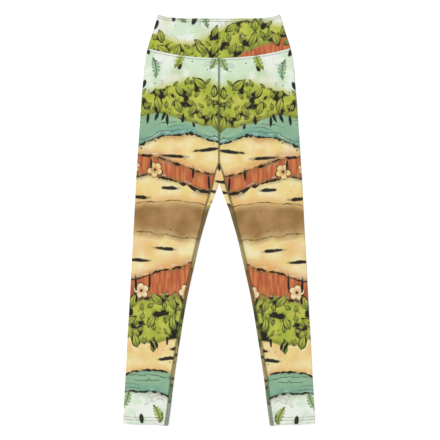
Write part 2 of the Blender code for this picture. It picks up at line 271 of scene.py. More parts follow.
def end_seam(inset, turn):
    """Height of the seam across the gusset's end, at an inset from the inner fold.

    turn is 0 on the front, 1 on the back and between them round the fold.
    """
    front = mix(GUSSET_FOLD_END, GUSSET_TIP, inset / TIP_INSET)
    back = mix(GUSSET_FOLD_END, GUSSET_BACK_END, inset / BACK_END_INSET)
    return mix(front, back, turn)


def lie(x, y, row):
    """How high the front's upper face lies: folds spring up, and the rest settles."""
    outer_gap = outer_edge(y) - x
    inner_gap = np.where(y > CROTCH, np.hypot(x, y - CROTCH), x - inner_edge(y))
    spring = edge_loft(row)
    near = np.minimum(outer_gap, inner_gap) - spring / 2
    return mix(spring, middle_loft(row), ease(near / FOLD_SPREAD))


def ridge(distance):
    """How far a seam's allowance lifts the cloth, at a distance from the seam."""
    lift = SEAM_RIDGE * (1 - ease(distance / RIDGE_WIDTH))
    return lift - (ROLL + SEAM_RIDGE) * (1 - ease(distance / ROLL_WIDTH))


def valley_at(distance):
    """How much of a seam's valley there is, at a distance from the seam; it also sets the painted
    shade there.
    """
    return bell(distance, SEAM_SHADE_WIDTH)


def spaced(low, high, coarse, fine, details):
    """Places from low to high, closer together at each detail."""
    places = [low]
    while places[-1] < high - fine:
        near = min(abs(places[-1] - detail) for detail in details)
        places.append(places[-1] + min(max(0.3 * near, fine), coarse))
    places[-1] = high
    return np.array(places)


# ---- cloth as grids of points
ROW_STEPS = (2.9 * MM, 0.4 * MM)  # between the rows of a leg, elsewhere and at its sewing
HEM_REACH = 90 * MM  # the rows slant with the hem up to here
SAG_FROM = 640 * MM  # they sag with the waist seam above here
TIP_REACH = 60 * MM  # and they slant with the gusset's end this far above and below it
CORNER_STEP = 2 * MM  # from the row at the gusset's side corner to the next
NEAR_SEAM = MM * np.array((0, 0.5, 1.0, 1.6, 2.4, 3.3, 4.4, 5.8, 7.5, 10))
FRONT_COLUMNS = 36
BACK_COLUMNS = 30
FOLD_COLUMNS = 10
STRIP_COLUMNS = MM * np.array((4.3, 3.6, 2.8, 2, 1.2, 0.6, 0))
WRAP_COLUMNS = 2 + FOLD_COLUMNS + 1 + len(STRIP_COLUMNS)

BAND_STEPS = (0.028, 0.005)  # between the rows of the waistband, as shares of its height
BAND_STATIONS = 44
BAND_SIDE_STEPS = 6

OUTER, INNER, NORMAL, SEWN = (slice(k, k + 3) for k in (0, 3, 6, 9))  # of a place

GUSSET_LINES = 30
GUSSET_REACH = 34 * MM  # from the crotch point to a side corner
GUSSET_NEAR_SEAM = (0, 0.5, 1, 1.6, 2.4, 3.4)  # in mm
FAR_FROM_SEAM = 20 * MM


def place(outer, inner, normal, relief, valley, needle, roll):
    """The twelve values of one place of a wall, or of a column of places.

    outer, inner and normal are (x, y, z). relief moves the outer face along its normal. valley,
    needle and roll are from 0 to 1: in a seam's valley, at a row of stitches, on a rolled edge.
    They set the painted shade of seams and needle rows and the painted highlight of rolled edges.
    """
    x, y, z = (p + n * relief for p, n in zip(outer, normal))
    values = (x, y, np.maximum(z, 0), *inner, *normal, valley, needle, roll)
    return np.array(np.broadcast_arrays(*values), float)


def round_fold(fold, way, turn, radius, wall):
    """Both faces and the normal, turned from 0 to 1 round a fold. way leads into the cloth."""
    sine = math.sin(math.pi * turn)
    cosine = math.cos(math.pi * turn)
    outer, inner = (
        (*(at + to * (radius - r * sine) for at, to in zip(fold, way)), radius + r * cosine)
        for r in (radius, radius - wall)
    )
    return outer, inner, (*(-to * sine for to in way), cosine)


def grid_of(columns):
    """An array of rows by columns by twelve values."""
    return np.stack(columns, axis=1).transpose(2, 1, 0)


def all_cells(grid):
    """Cloth in every cell of a grid."""
    return np.ones((grid.shape[0] - 1, grid.shape[1] - 1), bool)


def leg_wall_grid(rows, wraps):
    """Points of a leg, from the front seam over the outer fold to the back seam.

    Where the cloth wraps round the inner fold, they go on round it to the inseam.
    """
    waist = ease((rows - SAG_FROM) / (WAIST_MIDDLE - SAG_FROM))
    hem = 1 - ease(rows / HEM_REACH)
    tip = np.maximum(0, 1 - np.abs(rows - GUSSET_TIP) / TIP_REACH)
    below_waist = LEG_TOP - rows
    radius = edge_loft(rows) / 2
    wall = leg_wall(rows)

    rolled = bell(rows, ROLL_WIDTH) + bell(below_waist, ROLL_WIDTH)
    # needle rows pull the cloth in; the same values set the painted shade at them
    needles = sum(bell(rows - at, NEEDLE_WIDTH) for at in HEM_NEEDLES)
    needles = needles + bell(below_waist - WAIST_NEEDLE, NEEDLE_WIDTH)
    roll = bell(below_waist - WAIST_ROLL_AT, WAIST_ROLL_WIDTH)
    press = -ROLL * rolled - NEEDLE_DEPTH * needles + WAIST_ROLL * roll
    # painted highlight on the roll under the waist seam and on the hem's rolled edge, partly the
    # pale base showing through the stretched knit
    roll_highlight = np.minimum(1, roll + 0.6 * bell(rows, ROLL_WIDTH))
    columns = []

    def shifted(part, end_y=GUSSET_TIP):
        """Heights of the rows at a part of the way to the outer fold."""
        sag = waist * WAIST_RISE * part**WAIST_POWER
        return rows + sag + hem * hem_curve(part) + tip * (end_y - GUSSET_TIP)

    def add(outer, inner, normal, relief, valley):
        columns.append(place(outer, inner, normal, relief + press, valley, needles, roll_highlight))

    def add_front(x, y, from_seam, least=0):
        top = lie(x, y, rows)
        # painted shade in the seam's valley
        valley = np.maximum(valley_at(from_seam), least)
        add((x, y, top), (x, y, top - wall), (0, 0, 1), ridge(from_seam), valley)

    def add_back(x, y, valley):
        add((x, y, 0), (x, y, wall), (0, 0, -1), -BACK_PRESS * valley, valley)

    # Front, from its seam to the outer fold.
    span = outer_edge(shifted(1)) - radius - front_seam(rows) - SEAM_GAP / 2
    parts = [across / span for across in NEAR_SEAM]
    parts += [mix(parts[-1], 1, k / FRONT_COLUMNS) for k in range(1, FRONT_COLUMNS + 1)]
    for part in parts:
        y = shifted(part)
        x = mix(front_seam(y) + SEAM_GAP / 2, outer_edge(y) - radius, part)
        add_front(x, y, part * span)
    # Outer fold.
    y = shifted(1)
    for step in range(1, FOLD_COLUMNS + 1):
        fold = round_fold((outer_edge(y), y), (-1, 0), step / FOLD_COLUMNS, radius, wall)
        add(*fold, 0, 0)
    # Back, to the centre-back seam or to the start of the inner fold.
    for k in range(BACK_COLUMNS - 1, -1, -1):
        part = ease(k / BACK_COLUMNS) if k < 4 else k / BACK_COLUMNS
        y = shifted(part, mix(GUSSET_BACK_END, GUSSET_TIP, part))
        if wraps:
            end = inner_edge(y) + BACK_END_INSET
        else:
            end = gusset_back_seam(y) + SEAM_GAP / 2
        x = mix(end, outer_edge(y) - radius, part)
        add_back(x, y, 0 if wraps else valley_at(x - end))
    # Inner fold, and the strip that reaches the inseam.
    for beyond in (6 * MM, 2 * MM):
        inset = radius + beyond
        y = shifted(0, end_seam(inset, 1))
        add_back(inner_edge(y) + inset, y, 0)
    # painted shade on the strip beside the inseam and near the gusset's side corner
    end_valley = np.maximum(valley_at(rows - GUSSET_TIP), STRIP_SHADE)
    for step in range(FOLD_COLUMNS + 1):
        turn = 1 - step / FOLD_COLUMNS
        inset = radius * (1 - math.sin(math.pi * turn))
        y = shifted(0, end_seam(inset, turn))
        add(*round_fold((inner_edge(y), y), (1, 0), turn, radius, wall), 0, end_valley)
    for from_seam in STRIP_COLUMNS:
        y = shifted(0, end_seam(TIP_INSET - from_seam, 0))
        x = front_seam(y) - SEAM_GAP / 2 - from_seam
        add_front(x, y, from_seam, end_valley)
    return grid_of(columns)


def leg_rows():
    """Heights of a leg's rows, and how many of them lie below the gusset's side corner."""
    corner = GUSSET_TIP - END_GAP
    below = spaced(0, corner, *ROW_STEPS, (0, *HEM_NEEDLES, HEM_DEPTH, corner))
    details = (corner, LEG_TOP - WAIST_NEEDLE, LEG_TOP - WAIST_ROLL_AT, LEG_TOP)
    above = spaced(corner + CORNER_STEP, LEG_TOP, *ROW_STEPS, details)
    return np.concatenate((below, above)), len(below)


def leg_grid():
    """All points of a leg, which cells hold cloth, and how far round the leg each point is."""
    rows, corner = leg_rows()
    walls = (leg_wall_grid(rows[:corner], True), leg_wall_grid(rows[corner:], False))
    grid = np.concatenate(walls)
    cells = all_cells(grid)
    cells[corner - 1 :, -WRAP_COLUMNS:] = False
    steps = np.diff(grid, axis=1)
    along = np.cumsum(np.hypot(steps[:, :, 0], steps[:, :, 2]), axis=1)
    start = front_seam(rows)[:, None]
    return grid, cells, np.concatenate((start, start + along), axis=1)


def band_grid(front):
    """The front or back of the waistband, rounding over to the side seams."""
    way = 1 if front else -1
    radius = BAND_LOFT / 2
    half = [(k / BAND_STATIONS, 0) for k in range(1, BAND_STATIONS + 1)]
    half += [(1, 0.5 * step / BAND_SIDE_STEPS) for step in range(1, BAND_SIDE_STEPS + 1)]
    stations = [(-part, turn) for part, turn in reversed(half)] + [(0, 0)] + half
    lower = spaced(0, 0.5, *BAND_STEPS, (0, 0.06))
    top_details = [at / (TOP_MIDDLE - WAIST_MIDDLE) for at in (0, TOP_GROOVE, TOP_NEEDLE)]
    upper = 1 - spaced(0, 0.5, *BAND_STEPS, top_details)
    level = np.concatenate((lower, upper[::-1][1:]))
    columns = []
    for part, turn in stations:
        low = waist_seam(part) + SEAM_GAP / 2
        high = top_edge(part)
        y = mix(low, high, level)
        from_top = high - y
        needles = bell(from_top - TOP_NEEDLE, NEEDLE_WIDTH)
        groove = bell(from_top - TOP_GROOVE, GROOVE_WIDTH)
        rolled = bell(y - low, ROLL_WIDTH) + 1.4 * bell(from_top, TOP_GROOVE / 2)
        press = -ROLL * rolled - NEEDLE_DEPTH * (needles + groove)
        sideways = math.copysign(math.sin(math.pi * turn), part)
        up = math.cos(math.pi * turn)
        middle = part * (outer_edge(y) - radius)
        outer, inner = (
            (middle + r * sideways, y, radius + (r * up + SEAM_GAP * turn) * way)
            for r in (radius, radius - BAND_WALL)
        )
        # painted shade at the side seams, in the groove under the top edge and at the needle row;
        # painted highlight on the rolled top edge
        valley = max(0, 2 * turn - 0.2)
        sewn = (valley, needles + 1.3 * groove, 0.5 * bell(from_top, ROLL_WIDTH))
        columns.append(place(outer, inner, (sideways, 0, way * up), press, *sewn))
    grid = grid_of(columns)
    return grid, all_cells(grid), grid[:, :, 0]


def unit(way):
    return np.array(way) / math.hypot(*way)


def inwards_at(y):
    """Direction into the cloth, square to the inner fold."""
    step = 0.5 * MM
    if y > CROTCH - step:
        return (0, 1) if y >= CROTCH else unit((0.5, 0.87))
    slope = (inner_edge(y + step) - inner_edge(y - step)) / (2 * step)
    return unit((1, -slope))


def gusset_line(t):
    """Points across the gusset at t: 0 at the crotch point, -1 and 1 at the side corners."""
    side = -1 if t < 0 else 1
    t = abs(t)
    fold_y = CROTCH - (CROTCH - GUSSET_FOLD_END) * t**1.6
    fold = np.array((inner_edge(fold_y), fold_y))
    radius = edge_loft(fold_y) / 2
    wall = leg_wall(fold_y)
    # painted shade near the seam across the gusset's end
    end_valley = valley_at((1 - t) * GUSSET_REACH)
    points = []

    def seam_end(point_y, corner_y, seam):
        """Where the line meets a seam, its way there, and where it leaves the fold for it."""
        y = fold_y + (point_y - POINT_CLEARANCE - CROTCH) * (1 - t) ** 4
        y += (corner_y - GUSSET_FOLD_END) * t
        end = np.array((max(seam(y) - SEAM_GAP / 2, 0), y))
        way = unit(mix(inwards_at(fold_y), unit(end - fold), t))
        return end, way, fold + radius * way

    def add(outer, inner, normal, relief, from_seam):
        # painted shade beside the gusset's seams
        valley = max(valley_at(from_seam), end_valley)
        values = place(outer, inner, normal, relief, valley, 0, 0)
        values[[0, 3, 6]] *= side
        points.append(values)

    front, front_way, front_start = seam_end(GUSSET_FRONT, GUSSET_TIP, gusset_front_seam)
    back, back_way, back_start = seam_end(GUSSET_BACK, GUSSET_BACK_END, gusset_back_seam)
    length = math.dist(front, front_start)
    further = (mix(GUSSET_NEAR_SEAM[-1], length / MM, k / 5) for k in range(1, 5))
    for along in (*GUSSET_NEAR_SEAM, *further):
        along *= MM
        x, y = mix(front, front_start, along / length)
        top = float(lie(x, y, y))
        add((x, y, top), (x, y, top - wall), (0, 0, 1), ridge(along), along)
    for step in range(FOLD_COLUMNS + 1):
        turn = step / FOLD_COLUMNS
        way = unit(mix(front_way, back_way, turn))
        add(*round_fold(fold, way, turn, radius, wall), 0, FAR_FROM_SEAM)
    length = math.dist(back, back_start)
    nearer = (mix(length / MM, GUSSET_NEAR_SEAM[-1], k / 4) for k in range(1, 5))
    for along in (*nearer, *GUSSET_NEAR_SEAM[-2::-1]):
        along *= MM
        x, y = mix(back, back_start, along / length)
        add((x, y, 0), (x, y, wall), (0, 0, -1), -BACK_PRESS * valley_at(along), along)
    return points


def gusset_grid():
    lines = range(-GUSSET_LINES, GUSSET_LINES + 1)
    grid = np.array([gusset_line(line / GUSSET_LINES) for line in lines])
    return grid, all_cells(grid), grid[:, :, 0]


# ---- how the cloth lies
def crease_lift(x, y):
    """How much one leg's soft creases lift the cloth."""
    lift = 0 * x
    for x0, y0, x1, y1, rise, width in MM * np.array(CREASES):
        length2 = (x1 - x0) ** 2 + (y1 - y0) ** 2
        u = np.clip(((x - x0) * (x1 - x0) + (y - y0) * (y1 - y0)) / length2, 0, 1)
        away = np.hypot(x - mix(x0, x1, u), y - mix(y0, y1, u))
        fade = np.sin(math.pi * np.clip(u, 0.02, 0.98)) ** 0.6
        lift = lift + rise * bell(away, width) * fade
    return lift


def waviness(x, y, seed):
    """Uneven rise and fall of cloth that lies loosely."""
    swell = np.empty_like(x)
    for at in np.ndindex(x.shape):
        u, v = x[at] / MM, y[at] / MM
        wide = noise.noise(Vector((u / 62, v / 118, seed)))
        middle = noise.noise(Vector((u / 27, v / 46, seed + 7)))
        swell[at] = 0.62 * wide + 0.26 * middle
    return swell * MM


def puckers(x, y, near):
    """Small ripples where stitches draw the cloth in. near is 1 at the stitches."""
    along = (y + 0.35 * x) / MM
    across = (x + 0.2 * y) / MM
    ripple = np.sin(TAU * along / 9.3 + 2.1 * np.sin(along / 31)) * 0.6
    ripple = ripple + np.sin(TAU * across / 7.9 + 1.7 * np.sin(across / 23)) * 0.6
    return PUCKER * ripple * near


def lay(grid, s, side, seed, creased):
    """Lifts both faces of the front as the cloth lies."""
    x, y, top, _, _, under, _, _, up, valley, needle, roll = np.moveaxis(grid, 2, 0)
    up = np.maximum(up, 0)
    lift = waviness(x * side, y, seed)
    if creased:
        lift = lift + crease_lift(x, y)
    off_edge = ease((s - s[:, :1]) / CALM_EDGE)
    lift = np.clip(lift * up * (0.25 + 0.75 * off_edge), *LIFT_LIMITS)
    near = np.minimum(1, valley + needle + 0.6 * roll)
    lift = lift + puckers(x * side, y, near) * up
    top += lift
    under += lift


# ---- meshes
SHARP_ANGLE = math.radians(55)


def put(data):
    """A new object with the name of its data."""
    thing = bpy.data.objects.new(data.name, data)
    bpy.context.scene.collection.objects.link(thing)
    return thing


def make_mesh(name, points, faces, *materials):
    mesh = bpy.data.meshes.new(name)
    mesh.from_pydata(points, [], faces)
    for material in materials:
        mesh.materials.append(material)
    return mesh


def in_frame(points, side):
    """Points of one side in the frame, whose origin is the outline's centre."""
    return points * (side, 1, 1) + (0, -LENGTH / 2, 0)


def make_cloth(name, grid, cells, s, side, *materials):
    """A closed wall from a grid, with its print coordinates and sewing as attributes."""
    places = grid.reshape(-1, grid.shape[2])
    count = len(places)
    index = np.arange(count).reshape(grid.shape[:2])
    walls = [in_frame(places[:, face], side) for face in (OUTER, INNER)]
    corners = (index[:-1, :-1], index[1:, :-1], index[1:, 1:], index[:-1, 1:])
    quads = np.stack([corner[cells] for corner in corners], axis=1)
    faces = [quads, quads[:, ::-1] + count]
    padded = np.pad(cells, 1)
    beside = (padded[1:-1, :-2], padded[2:, 1:-1], padded[1:-1, 2:], padded[:-2, 1:-1])
    for k, neighbour in enumerate(beside):
        free = cells & ~neighbour
        a, b = corners[k][free], corners[(k + 1) % 4][free]
        faces.append(np.stack((b, a, a + count, b + count), axis=1))
    kinds = [np.full(len(f), k == 1, np.int32) for k, f in enumerate(faces)]
    faces = np.concatenate(faces)
    used, renamed = np.unique(faces, return_inverse=True)
    points = np.concatenate(walls)[used].tolist()
    faces = renamed.reshape(faces.shape).tolist()

    mesh = make_mesh(f"{name}_cloth", points, faces, *materials)
    mesh.polygons.foreach_set("material_index", np.concatenate(kinds))
    piece = PIECES[name]
    across, y = s.reshape(-1) / MM, places[:, 1] / MM
    print_y = y + piece.rise + piece.slant * across
    print_at = np.stack((across + piece.start, print_y, np.zeros(count)), axis=1)
    # sewn carries the painted shade of seams and needle rows and the painted highlight of rolled
    # edges
    for title, values in (("print", print_at), ("sewn", places[:, SEWN])):
        both = np.concatenate((values, values))[used]
        attribute = mesh.attributes.new(title, "FLOAT_VECTOR", "POINT")
        attribute.data.foreach_set("vector", both.astype(np.float32).reshape(-1))
    form = bmesh.new()
    form.from_mesh(mesh)
    bmesh.ops.recalc_face_normals(form, faces=form.faces)
    form.to_mesh(mesh)
    form.free()
    mesh.shade_smooth()
    mesh.set_sharp_from_angle(angle=SHARP_ANGLE)
    return put(mesh)


STITCH_RINGS = (  # along a stitch from 0 to 1, thickness, height over the cloth in radii
    (0.0, 0.35, -1.2),
    (0.07, 0.8, -0.2),
    (0.25, 1.0, 0.75),
    (0.5, 1.05, 0.9),
    (0.75, 1.0, 0.75),
    (0.93, 0.8, -0.2),
    (1.0, 0.35, -1.2),
)
SIDES = 6  # of a thread's tube


def path_along(grid, rows, columns, side, shift=(0, 0, 0), depth=0):
    """Points and normals of the outer face along a row or column, moved aside and sunk in."""
    normals = grid[rows, columns, NORMAL]
    points = grid[rows, columns, OUTER] + shift - depth * normals
    return in_frame(points, side), normals * (side, 1, 1)


def seam_thread_and_shade(points, normals):
    """The rings of one tube along a path, each with its centre, way, normal and radius."""
    ways = np.gradient(points, axis=0)
    return [(*ring, SEAM_THREAD_RADIUS) for ring in zip(points, ways, normals)]


def stitch_row(points, normals):
    """The rings of a tube for each stitch along a path."""
    steps = np.linalg.norm(np.diff(points, axis=0), axis=1)
    along = np.concatenate(([0], np.cumsum(steps)))

    def at(distance, values=points):
        return np.array([np.interp(distance, along, values[:, k]) for k in range(3)])

    number = int((along[-1] - STITCH_LENGTH) / STITCH_PITCH)
    start = (along[-1] - number * STITCH_PITCH - STITCH_LENGTH) / 2
    tubes = []
    for k in range(number + 1):
        rings = []
        for u, thickness, over in STITCH_RINGS:
            here = start + k * STITCH_PITCH + u * STITCH_LENGTH
            up = at(here, normals)
            up /= np.linalg.norm(up)
            way = at(here + 0.05 * MM) - at(here - 0.05 * MM)
            centre = at(here) + up * over * THREAD_RADIUS
            rings.append((centre, way, up, thickness * THREAD_RADIUS))
        tubes.append(rings)
    return tubes


def make_thread(name, tubes, material):
    """A piece of closed tubes."""
    points, faces = [], []
    for rings in tubes:
        first = len(points)
        for centre, way, up, radius in rings:
            sideways = np.cross(up, way)
            sideways /= max(np.linalg.norm(sideways), 1e-12)
            for turn in range(SIDES):
                angle = TAU * turn / SIDES
                spoke = sideways * math.cos(angle) + up * math.sin(angle)
                points.append(centre + spoke * radius)
        last = len(points) - SIDES
        for ring in range(first, last, SIDES):
            for turn in range(SIDES):
                a, b = ring + turn, ring + (turn + 1) % SIDES
                faces.append((a, b, b + SIDES, a + SIDES))
        faces.append(tuple(range(first + SIDES - 1, first - 1, -1)))
        faces.append(tuple(range(last, last + SIDES)))
    points = np.array(points)
    points[:, 2] = np.maximum(points[:, 2], 0)
    mesh = make_mesh(name, points.tolist(), faces, material)
    mesh.shade_smooth()
    return put(mesh)


# ---- shader arithmetic
def feed(node, values):
    """Sets inputs of a node to fields, numbers or colours."""
    for name, value in values.items():
        if isinstance(value, Field):
            value.tree.links.new(value.socket, node.inputs[name])
        else:
            node.inputs[name].default_value = value


def math_node(operation):
    """A method of Field that adds one Math node."""

    def method(self, *others):
        node = self.tree.nodes.new("ShaderNodeMath")
        node.operation = operation
        feed(node, dict(enumerate((self, *others))))
        return Field(node.outputs[0])

    return method


class Field:
    """A number or colour that varies over the cloth: the output of a shader node."""

    def __init__(self, socket):
        self.tree = socket.id_data
        self.socket = socket

    __add__ = math_node("ADD")
    __sub__ = math_node("SUBTRACT")
    __mul__ = math_node("MULTIPLY")
    __truediv__ = math_node("DIVIDE")
    __abs__ = math_node("ABSOLUTE")
    sin = math_node("SINE")
    cos = math_node("COSINE")
    root = math_node("SQRT")
    power = math_node("POWER")
    arctan2 = math_node("ARCTAN2")
    least = math_node("MINIMUM")
    most = math_node("MAXIMUM")
    over = math_node("GREATER_THAN")  # 1 above a limit and 0 below it

    def rest(self):
        """What is left of 1."""
        return (self * -1) + 1

    def ramp(self, low, high):
        """Eases from 0 at low to 1 at high, and low may be the greater."""
        node = self.tree.nodes.new("ShaderNodeMapRange")
        node.interpolation_type = "SMOOTHSTEP"
        feed(node, {"Value": self, "From Min": low, "From Max": high})
        return Field(node.outputs["Result"])

    def parts(self):
        """The three numbers of a vector or colour."""
        node = self.tree.nodes.new("ShaderNodeSeparateXYZ")
        feed(node, {0: self})
        return [Field(output) for output in node.outputs]


class Motifs(namedtuple("Motifs", "x y at_s at_h chances")):
    """Scattered places for motifs: distances from the nearest one, and its random numbers."""

    def radius(self):
        return (self.x.power(2) + self.y.power(2)).root()

    def turned(self, angle):
        """Distances along and across a direction, an angle from the print's own s."""
        c, s = angle.cos(), angle.sin()
        return self.x * c + self.y * s, self.y * c - self.x * s

    def upright(self, chance, spread):
        """The same for motifs that stand up, each with a lean of its own."""
        return self.turned((self.chances[chance] - 0.5) * spread + math.pi / 2)


class Print:
    """A material and the design that it paints on cloth. Distances are in mm."""

    def __init__(self, name):
        self.material = bpy.data.materials.new(name)
        self.material.use_nodes = True
        self.tree = self.material.node_tree
        self.s, self.h, _ = self.attribute("print")
        self.canvas = None

    def attribute(self, name):
        node = self.tree.nodes.new("ShaderNodeAttribute")
        node.attribute_name = name
        return Field(node.outputs["Vector"]).parts()

    def vector(self, x, y):
        node = self.tree.nodes.new("ShaderNodeCombineXYZ")
        feed(node, {0: x, 1: y})
        return Field(node.outputs[0])

    def noise(self, size, seed, detail=1, across=1):
        """Noise from 0 to 1 with features of a size; across stretches them along s."""
        node = self.tree.nodes.new("ShaderNodeTexNoise")
        node.noise_dimensions = "2D"
        at = self.vector(self.s / (size * across) + seed, self.h / size + 1.7 * seed)
        feed(node, {"Vector": at, "Scale": 1, "Detail": detail})
        return Field(node.outputs["Fac"])

    def scatter(self, width, height, seed, jitter):
        """Places about width by height apart."""
        node = self.tree.nodes.new("ShaderNodeTexVoronoi")
        node.voronoi_dimensions = "2D"
        s, h = self.s + (self.sketch - 0.5) * 2, self.h + (self.sketch - 0.5) * 2
        at = self.vector(s / width + seed, h / height + 1.3 * seed)
        feed(node, {"Vector": at, "Scale": 1, "Randomness": jitter})
        column, row, _ = Field(node.outputs["Position"]).parts()
        at_s = (column - seed) * width
        at_h = (row - 1.3 * seed) * height
        chances = Field(node.outputs["Color"]).parts()
        return Motifs(s - at_s, h - at_h, at_s, at_h, chances)

    def above(self, band, at=None):
        """How far a place, or the nearest motif's own place, lies above a band's lower edge."""
        s, h = (at.at_s, at.at_h) if at else (self.wave_s, self.wave_h)
        return h - ((s - band.crest) * (TAU / band.wave)).cos() * band.swing - band.height

    def between(self, at, reach, *stretches):
        """1 where a motif's own place lies between two edges, or outside by less than reach."""
        here, *others = (
            self.above(foot, at).over(-reach) * self.above(top, at).over(reach).rest()
            for foot, top in stretches
        )
        for other in others:
            here = here.most(other)
        return here

    def on_pale(self, at, reach):
        """1 where a motif's own place lies on the pale cloth at the hem or at the waist."""
        low = self.above(LOW_WAVE, at).over(-reach).rest()
        high = self.above(WAIST_SKY, at).over(reach)
        return low.most(high).most(self.between(at, -reach, (SKY, WAIST_CLAY)))

    def blend(self, first, second, share):
        """A colour between two others."""
        node = self.tree.nodes.new("ShaderNodeMix")
        node.data_type = "RGBA"
        a, b = (dye(color) if color in DYES else color for color in (first, second))
        feed(node, {"Factor": share, "A": a, "B": b})
        return Field(node.outputs["Result"])

    def paint(self, color, mask):
        self.canvas = self.blend(self.canvas, color, mask)

    def ink(self, mask):
        self.paint("ink", mask * INK_STRENGTH)

    def outline(self, distance, width, breaks=0.35):
        """A brushed line where distance is 0, of uneven width and with gaps."""
        thick = (self.sketch - breaks) * (width * 2.2)
        return (abs(distance) - thick).ramp(0.6, -0.6)

    def leaves(self, gap, seed, size, slim, foot, top, reach):
        """Inked leaves that mostly point up, from a pale tip to a dark foot."""
        at = self.scatter(gap, gap * 1.05, seed, 0.5)
        _, grow, tint = at.chances
        along, across = at.upright(0, 2.1)
        length = (grow * 0.35 + 0.75) * size
        u = along / length
        side = abs(across)
        edge = (u * u).rest() * (u * -0.3 + 1) * (length * slim) - side
        here = self.between(at, reach, (foot, top))
        fill = edge.ramp(-0.5, 0.5) * here
        tone = self.blend("lime", "lemon", u.ramp(-0.6, 0.9) * 0.8 + tint * 0.3)
        self.paint(tone, fill)
        self.paint("olive", (u.ramp(0.3, -1) + tint * 0.4).least(1) * fill * 0.75)
        self.paint("moss", edge.ramp(3.6, 0) * fill * 0.5)
        self.ink(self.outline(edge, size * 0.15, 0.38) * here)
        self.paint("moss", side.ramp(1.2, 0.4) * edge.ramp(0, 2) * here * 0.85)

    def blossoms(self, gap, seed, size, foot, top, petal, heart, chance):
        """Five-petalled blossoms with an inked edge and a dark heart."""
        at = self.scatter(gap, gap * 0.8, seed, 0.5)
        chosen, turn, grow = at.chances
        here = self.between(at, -size * 0.3, (foot, top)) * chosen.over(1 - chance)
        radius = at.radius()
        angle = at.y.arctan2(at.x) + turn * TAU
        lobe = abs((angle * 2.5).cos()).power(0.6)
        edge = (lobe * 0.42 + 0.58) * (grow * 0.3 + 0.85) * size - radius
        fill = edge.ramp(-0.5, 0.5) * here
        self.paint(self.blend(petal, heart, (radius / size).ramp(0.75, 0.1) * 0.75), fill)
        self.paint(heart, edge.ramp(5, 0) * fill * 0.5)
        self.ink(self.outline(edge, 2.1, 0.3) * here)
        self.ink((radius - size * 0.17).ramp(0.7, -0.7) * here)

    def design(self):
        """Paints everything, from the ground to the last specks."""
        # The uneven hand of the design.
        drift = self.noise(46, 3, 2)
        wobble = self.noise(9, 11, 2)
        self.wave_s = self.s + (drift - 0.5) * 16 + (wobble - 0.5) * 3
        self.wave_h = self.h + (self.noise(52, 29, 2) - 0.5) * 18 + (wobble - 0.5) * 4
        self.sketch = self.noise(17, 41, 3)
        soft = self.noise(34, 5, 3)
        fine = self.noise(6, 19, 3)
        wash = self.noise(74, 23, 3)
        strokes = self.noise(52, 71, 3, across=0.12)

        # Pale washes with hazy brush marks, for the hem and the waist.
        self.canvas = self.blend("mint", "white", (wash + (soft - 0.5) * 0.7).ramp(0.42, 0.62))
        self.paint("lime", self.noise(64, 67).ramp(0.56, 0.82) * 0.3)
        mark = abs(self.noise(46, 61) - 0.52).ramp(0.03, 0.0)
        self.paint("haze", mark * soft.ramp(0.38, 0.6) * 0.75)
        sky = self.canvas

        flecks = self.noise(23, 97).ramp(0.5, 0.6)
        for band in BANDS:
            up = self.above(band)
            own_side = up.ramp(-band.soft, band.soft)
            if band.ink:  # a shadow on the band below
                self.paint("umber", up.ramp(-18, 0) * wash.ramp(0.38, 0.6) * 0.45)
            if band.dye == "mint":
                self.paint(sky, own_side)
            else:
                share = {"clay": strokes, "brown": wash}.get(band.dye, soft).ramp(0.35, 0.72)
                self.paint(self.blend(band.dye, band.other, share), own_side)
            self.paint(band.glow, up.ramp(band.depth, 0) * own_side * 0.7)
            if band.dye == "sand":
                self.paint("peach", wash.ramp(0.47, 0.68) * own_side * 0.5)
            if band.dye == "teal":
                self.streaks(up, soft)
            if band.ink:
                if band.soft == 1:
                    glint = abs(up - band.ink * 1.2).ramp(2.6, 0) * flecks * own_side
                    self.paint("white", glint * 0.42)
                self.paint("moss", abs(up).ramp(band.ink * 1.9, 0) * soft.ramp(0.35, 0.65) * 0.5)
                self.ink(self.outline(up, band.ink))
        for foot, top in ((LOW_LEAVES, LOW_CLAY), (HIGH_LEAVES, SKY), (WAIST_LEAVES, WAIST_SKY)):
            seed = foot.height / 10
            shadow = self.noise(26, seed, 2)
            inside = self.above(foot).ramp(-2, 4) * self.above(top).ramp(2, -4)
            self.paint("moss", shadow.ramp(0.48, 0.6) * inside * 0.75)
            self.ink(shadow.ramp(0.58, 0.63) * inside)
            self.leaves(25, seed + 4.8, 10, 0.48, foot, top, 4)
            self.leaves(44, seed + 10.4, 19, 0.45, foot, top, 9)
        self.blossoms(64, 12.3, 19, LOW_CLAY, KNEE_SAND, "cream", "ember", 0.8)
        self.blossoms(58, 31.9, 17, HIGH_CLAY, HIGH_SAND, "sand", "clay", 0.7)
        self.blossoms(84, 44.9, 17, LOW_SAND, LOW_LEAVES, "clay", "peach", 0.65)
        self.seeds()
        self.fronds()
        self.dashes()
        self.reeds()

        # Specks, then the unevenness of the dye.
        at = self.scatter(17, 17, 63.3, 1)
        speck = (at.radius() - at.chances[1] * 2).ramp(0.5, -0.3)
        self.paint("moss", speck * at.chances[0].over(0.87) * 0.85)
        self.paint("white", (soft + fine * 0.4).ramp(0.85, 1.15) * 0.12)
        self.paint("umber", (soft + fine * 0.5).ramp(0.62, 0.3) * 0.2)

    def streaks(self, up, soft):
        """Broken dark strokes along a wave, and its greener middle."""
        self.paint("sage", up.ramp(8, 24) * 0.7)
        streak = abs(((up + (self.sketch - 0.5) * 7) * (TAU / 20)).sin())
        broken = self.noise(34, 83, across=2.4).ramp(0.52, 0.57)
        self.paint("ink", streak.ramp(0.3, 0.1) * broken * up.ramp(4, 7) * 0.85)
        self.paint("white", streak.ramp(0.8, 1) * soft.ramp(0.5, 0.75) * up.ramp(2, 6) * 0.2)

